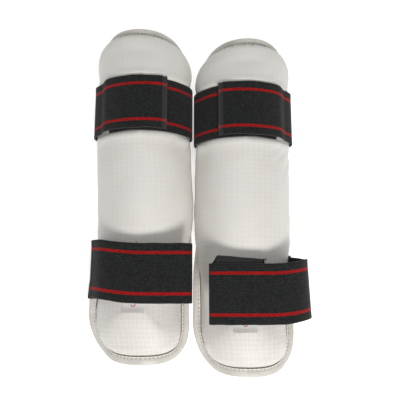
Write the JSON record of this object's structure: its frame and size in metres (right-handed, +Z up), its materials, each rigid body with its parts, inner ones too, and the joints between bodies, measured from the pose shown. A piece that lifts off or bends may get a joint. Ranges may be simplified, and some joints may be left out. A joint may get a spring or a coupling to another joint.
{
  "type": "padded shin guard pair",
  "caption": "Padded shin guards with rounded ends, arched to fit the shin, each closed by elastic straps with hook ends.",
  "frame": {"origin": "middle of the pair's bounding box, on the ground it lies on", "axes": "+X from the left guard to the right guard, +Y toward the knee end, +Z up out of the front faces"},
  "size_m": [0.2025, 0.3214, 0.0626],
  "materials": {
    "cover": "white coated fabric with a fine embossed grid, satin",
    "binding": "smooth white coated tape, stitched",
    "lining": "brushed off-white knit",
    "foam": "soft closed-cell foam, matt",
    "strap": "black woven elastic with two red lines, matt",
    "hook": "black hook tape",
    "label": "white woven label"
  },
  "bodies": {
    "left_guard": {"left_foam_core": "foam", "left_front_cover": "cover", "left_back_lining": "lining", "left_edge_binding": "binding", "left_size_label": "label", "left_upper_strap_base": "strap", "left_upper_loop_strap": "strap", "left_lower_strap_base": "strap", "left_lower_loop_tab": "strap"},
    "left_upper_flap": {"left_upper_hook_flap": "strap", "left_upper_hook_patch": "hook"},
    "left_lower_band": {"left_lower_strap": "strap"},
    "left_lower_tail": {"left_lower_strap_tail": "strap", "left_lower_hook_patch": "hook"},
    "right_guard": {"right_foam_core": "foam", "right_front_cover": "cover", "right_back_lining": "lining", "right_edge_binding": "binding", "right_size_label": "label", "right_upper_strap_base": "strap", "right_upper_loop_strap": "strap", "right_lower_strap_base": "strap", "right_lower_loop_tab": "strap"},
    "right_upper_flap": {"right_upper_hook_flap": "strap", "right_upper_hook_patch": "hook"},
    "right_lower_band": {"right_lower_strap": "strap"},
    "right_lower_tail": {"right_lower_strap_tail": "strap", "right_lower_hook_patch": "hook"}
  },
  "joints": [
    {"name": "right_guard_apart", "type": "slide", "parent": "left_guard", "child": "right_guard", "axis": [1, 0, 0], "range_m": [0, 0.15]},
    {"name": "left_upper_flap_peel", "type": "hinge", "parent": "left_guard", "child": "left_upper_flap", "pos_m": [-0.09386, 0.07975, 0.02931], "axis": [0, -1, 0], "range_deg": [0, 150]},
    {"name": "left_lower_band_swing", "type": "hinge", "parent": "left_guard", "child": "left_lower_band", "pos_m": [-0.09064, -0.06875, 0.04132], "axis": [0, -1, 0], "range_deg": [0, 150]},
    {"name": "left_lower_tail_unfold", "type": "hinge", "parent": "left_lower_band", "child": "left_lower_tail", "pos_m": [-0.0018, -0.06875, 0.0577], "axis": [0, -1, 0], "range_deg": [0, 165]},
    {"name": "right_upper_flap_peel", "type": "hinge", "parent": "right_guard", "child": "right_upper_flap", "pos_m": [0.08969, 0.07375, 0.02931], "axis": [0, 1, 0], "range_deg": [0, 150]},
    {"name": "right_lower_band_swing", "type": "hinge", "parent": "right_guard", "child": "right_lower_band", "pos_m": [0.10007, -0.07875, 0.03679], "axis": [-0.04, 0.9992, 0], "range_deg": [0, 150]},
    {"name": "right_lower_tail_unfold", "type": "hinge", "parent": "right_lower_band", "child": "right_lower_tail", "pos_m": [0.014, -0.08825, 0.0593], "axis": [0, 1, 0], "range_deg": [0, 165]}
  ],
  "couplings": [
    {"joint": "left_lower_tail_unfold", "follows": "left_lower_band_swing", "ratio": 1.1},
    {"joint": "right_lower_tail_unfold", "follows": "right_lower_band_swing", "ratio": 1.1}
  ]
}
